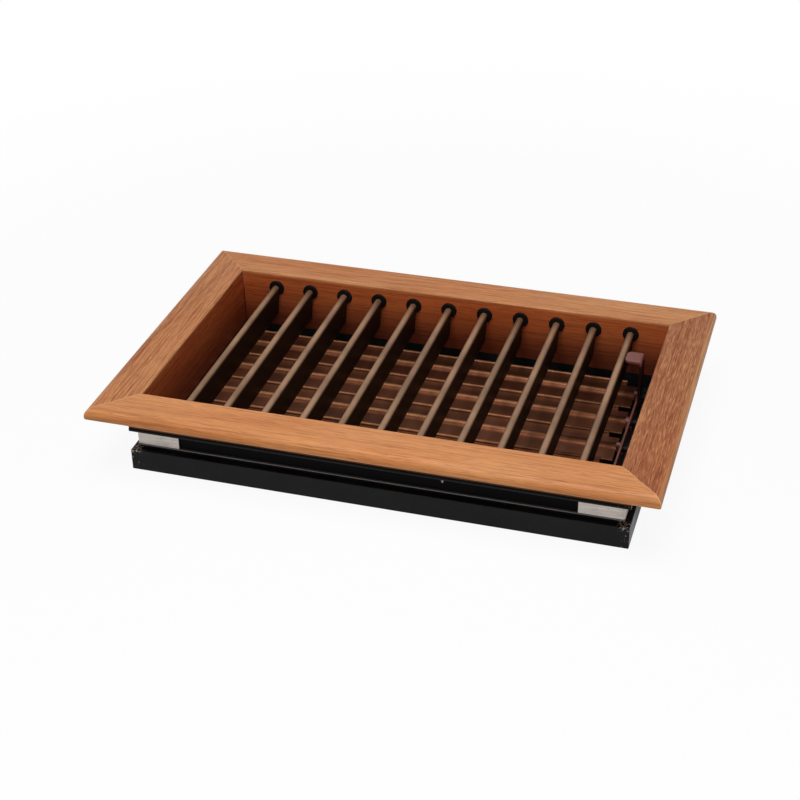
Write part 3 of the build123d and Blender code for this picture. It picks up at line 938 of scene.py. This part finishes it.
class GRILLE_OT_damper_drive(bpy.types.Operator):
    """Finishes the shafts, cranks, bushes, slide, lever and rivets"""

    bl_idname = "grille.damper_drive"
    bl_label = "Damper drive"

    def execute(self, context):
        tint = tuple(context.scene.grille_damper.lever)
        drive = coated_finish("drive_coating", times(tint, 0.75), 0.38, line_axis="y", wear=0.1)
        plastic = coated_finish("shaft_bush_black", SHAFT_BUSH_BLACK, 0.5, speckle=0.3, gleam=0.06)
        steel = coated_finish("shaft_black", SHAFT_BLACK, 0.5, line_axis="x", gleam=0.06)
        tab_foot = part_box("damper_lever")[1].z - TAB_DEPTH
        lever = coated_finish("lever_coating", tint, 0.4, line_axis="y", wear=0.12,
                              shaded_below=tab_foot)
        for n in range(1, len(blade_joints) + 1):
            dress(f"damper_shaft_{n}", steel)
            dress(f"damper_crank_{n}", drive)
        dress("damper_bushes_left", plastic)
        dress("damper_bushes_right", plastic)
        dress("damper_slide", drive)
        dress("damper_lever", lever)
        dress("lever_rivets", steel)
        return {"FINISHED"}


class GRILLE_OT_stage(bpy.types.Operator):
    """Sets up the floor, the light and the camera"""

    bl_idname = "grille.stage"
    bl_label = "Stage"

    def execute(self, context):
        stage = context.scene.grille_stage
        context.scene.view_settings.view_transform = "Standard"
        self.floor(stage)
        self.sky(context.scene, stage)
        self.lamp("overhead_lamp", stage.overhead_power, OVERHEAD_PLACE)
        self.lamp("front_lamp", stage.front_power, FRONT_PLACE)
        self.camera(context.scene, stage)
        return {"FINISHED"}

    @staticmethod
    def floor(stage):
        """A wide level sheet of pale matt card, with a painted shadow inside the duct opening.

        Part of its whiteness is its own, and the rest takes the shadow. Its own part grows to the
        whole with the distance from the grille.
        """
        corners = FLOOR_REACH * np.array([(-1, -1, 0), (1, -1, 0), (1, 1, 0), (-1, 1, 0)], float)
        mesh = bpy.data.meshes.new("floor")
        mesh.from_pydata(corners, [], [(0, 1, 2, 3)])
        floor = bpy.data.objects.new("floor", mesh)
        bpy.context.scene.collection.objects.link(floor)
        card = Finish("floor_card")
        # Painted shadow: the card is dark inside the duct opening and has no glow of its own there
        unshadowed_floor = card.ramp(card.calc("MAXIMUM", *card.past_opening()), 0.0, neck_wall)
        white = card.mix(*CARD_WHITES, card.noise(60))
        tint = card.mix(CARD_SHADOW, white, unshadowed_floor)
        card.set(Base_Color=tint, Roughness=0.9, Specular_IOR_Level=0.0)
        distance = card.node("VectorMath", {0: card.place}, operation="LENGTH").outputs["Value"]
        own_white = card.ramp(distance, 1.5 * half_length, 5 * half_length, stage.floor_glow, 1.0)
        part = card.product(card.seen(), own_white, unshadowed_floor)
        glow = card.node("Emission", {"Color": (1.0, 1.0, 1.0), "Strength": 1.0}).outputs[0]
        both = card.node("MixShader", {0: part, 1: card.shader.outputs[0], 2: glow}).outputs[0]
        card.plug(card.tree.nodes["Material Output"].inputs["Surface"], both)
        floor.data.materials.append(card.material)

    @staticmethod
    def sky(scene, stage):
        """Even light all round, which is seen as plain white."""
        world = bpy.data.worlds.new("sky")
        scene.world = world
        world.use_nodes = True
        graph = Graph(world.node_tree)
        strength = graph.node("MapRange", {"Value": graph.seen(), "To Min": stage.sky, "To Max": 1.0})
        background = graph.tree.nodes["Background"]
        graph.plug(background.inputs["Strength"], strength.outputs[0])
        graph.plug(background.inputs["Color"], (1.0, 1.0, 1.0))

    @staticmethod
    def lamp(name, power, place):
        """A soft rectangular lamp at a place, turned to the grille."""
        light = bpy.data.lights.new(name, "AREA")
        light.shape = "RECTANGLE"
        light.size, light.size_y = LAMP_SIZE
        light.energy = power
        lamp = bpy.data.objects.new(name, light)
        lamp.location = place
        lamp.rotation_euler = (Vector(LAMP_AIM) - Vector(place)).to_track_quat("-Z", "Y").to_euler()
        bpy.context.scene.collection.objects.link(lamp)

    @staticmethod
    def camera(scene, stage):
        """A camera at an azimuth, elevation and distance from its target, with some roll."""
        a, e, roll = stage.azimuth, stage.elevation, stage.roll
        back = Vector((math.cos(e) * math.sin(a), -math.cos(e) * math.cos(a), math.sin(e)))
        right = Vector((math.cos(a), math.sin(a), 0))
        up = back.cross(right)
        side = right * math.cos(roll) + up * math.sin(roll)
        top = up * math.cos(roll) - right * math.sin(roll)
        data = bpy.data.cameras.new("camera")
        data.lens = stage.lens
        data.sensor_width = SENSOR_WIDTH
        data.clip_start = CLIP_START
        camera = bpy.data.objects.new("camera", data)
        place = Vector(stage.target) + back * stage.distance
        turn = Matrix((side, top, back)).transposed().to_4x4()
        camera.matrix_world = Matrix.Translation(place) @ turn
        scene.collection.objects.link(camera)
        scene.camera = camera


settings_groups = {
    "grille_wood": WoodSettings,
    "grille_louvre": LouvreSettings,
    "grille_damper": DamperSettings,
    "grille_stage": StageSettings,
}

operators = (
    GRILLE_OT_wooden_face,
    GRILLE_OT_louvres,
    GRILLE_OT_pivot_bushes,
    GRILLE_OT_damper_blades,
    GRILLE_OT_corner_brackets,
    GRILLE_OT_damper_frame,
    GRILLE_OT_damper_drive,
    GRILLE_OT_stage,
)


class GRILLE_PT_panel(bpy.types.Panel):
    """Lists the grille's settings and its operators"""

    bl_label = "Air grille"
    bl_space_type = "VIEW_3D"
    bl_region_type = "UI"
    bl_category = "Air grille"

    def draw(self, context):
        for group in settings_groups:
            settings = getattr(context.scene, group)
            box = self.layout.box()
            for key in settings.__annotations__:
                box.prop(settings, key)
        for operator in operators:
            self.layout.operator(operator.bl_idname)


def register():
    """Registers the classes and hangs the settings on the scene."""
    for kind in (*settings_groups.values(), *operators, GRILLE_PT_panel):
        bpy.utils.register_class(kind)
    for key, kind in settings_groups.items():
        setattr(bpy.types.Scene, key, bpy.props.PointerProperty(type=kind))


def unregister():
    """Takes the settings off the scene and unregisters the classes."""
    for key in settings_groups:
        delattr(bpy.types.Scene, key)
    for kind in (GRILLE_PT_panel, *reversed(operators), *settings_groups.values()):
        bpy.utils.unregister_class(kind)


def main():
    """Builds every piece and the stage."""
    register()
    for operator in operators:
        group, name = operator.bl_idname.split(".")
        getattr(getattr(bpy.ops, group), name)()


if __name__ == "__main__":
    main()
